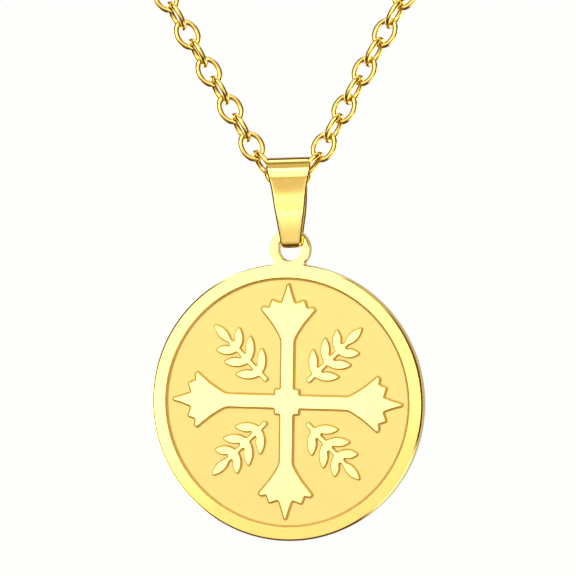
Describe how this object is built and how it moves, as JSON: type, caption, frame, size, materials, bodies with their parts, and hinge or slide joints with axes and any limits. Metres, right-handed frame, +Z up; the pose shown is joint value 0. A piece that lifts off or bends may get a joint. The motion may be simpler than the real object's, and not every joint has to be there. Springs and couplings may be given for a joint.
{
  "type": "orthodox cross medal pendant on a chain",
  "caption": "Round medal with a raised flared cross and leaf sprigs, hung by a tapered folded bail from a fine cable chain that joins at a clasp.",
  "frame": {"origin": "the point on the nape of the neck that the middle of the clasp rests on, with the necklace in the form it has when worn", "axes": "+Z is up, -Y is the way the wearer looks and the side the medal's cross faces, +X is the wearer's left"},
  "size_m": [0.125, 0.0953, 0.2417],
  "materials": {
    "medal_gold": "gold-coloured plating, polished raised work over a fine matte field",
    "bail_gold": "gold-coloured plating, polished",
    "chain_gold": "gold-coloured plating, polished wire",
    "clasp_gold": "gold-coloured plating, polished"
  },
  "bodies": {
    "necklace": {"chain": "chain_gold", "clasp": "clasp_gold"},
    "bail": {"bail": "bail_gold"},
    "medal": {"medal": "medal_gold"}
  },
  "joints": [
    {"name": "bail_swing", "type": "hinge", "parent": "necklace", "child": "bail", "pos_m": [0, -0.09, -0.2], "axis": [1, 0, 0], "range_deg": [-45, 45]},
    {"name": "medal_swing", "type": "hinge", "parent": "bail", "child": "medal", "pos_m": [0.00024, -0.09, -0.20725], "axis": [0.9903, -0.1392, 0], "range_deg": [-8, 8]}
  ]
}
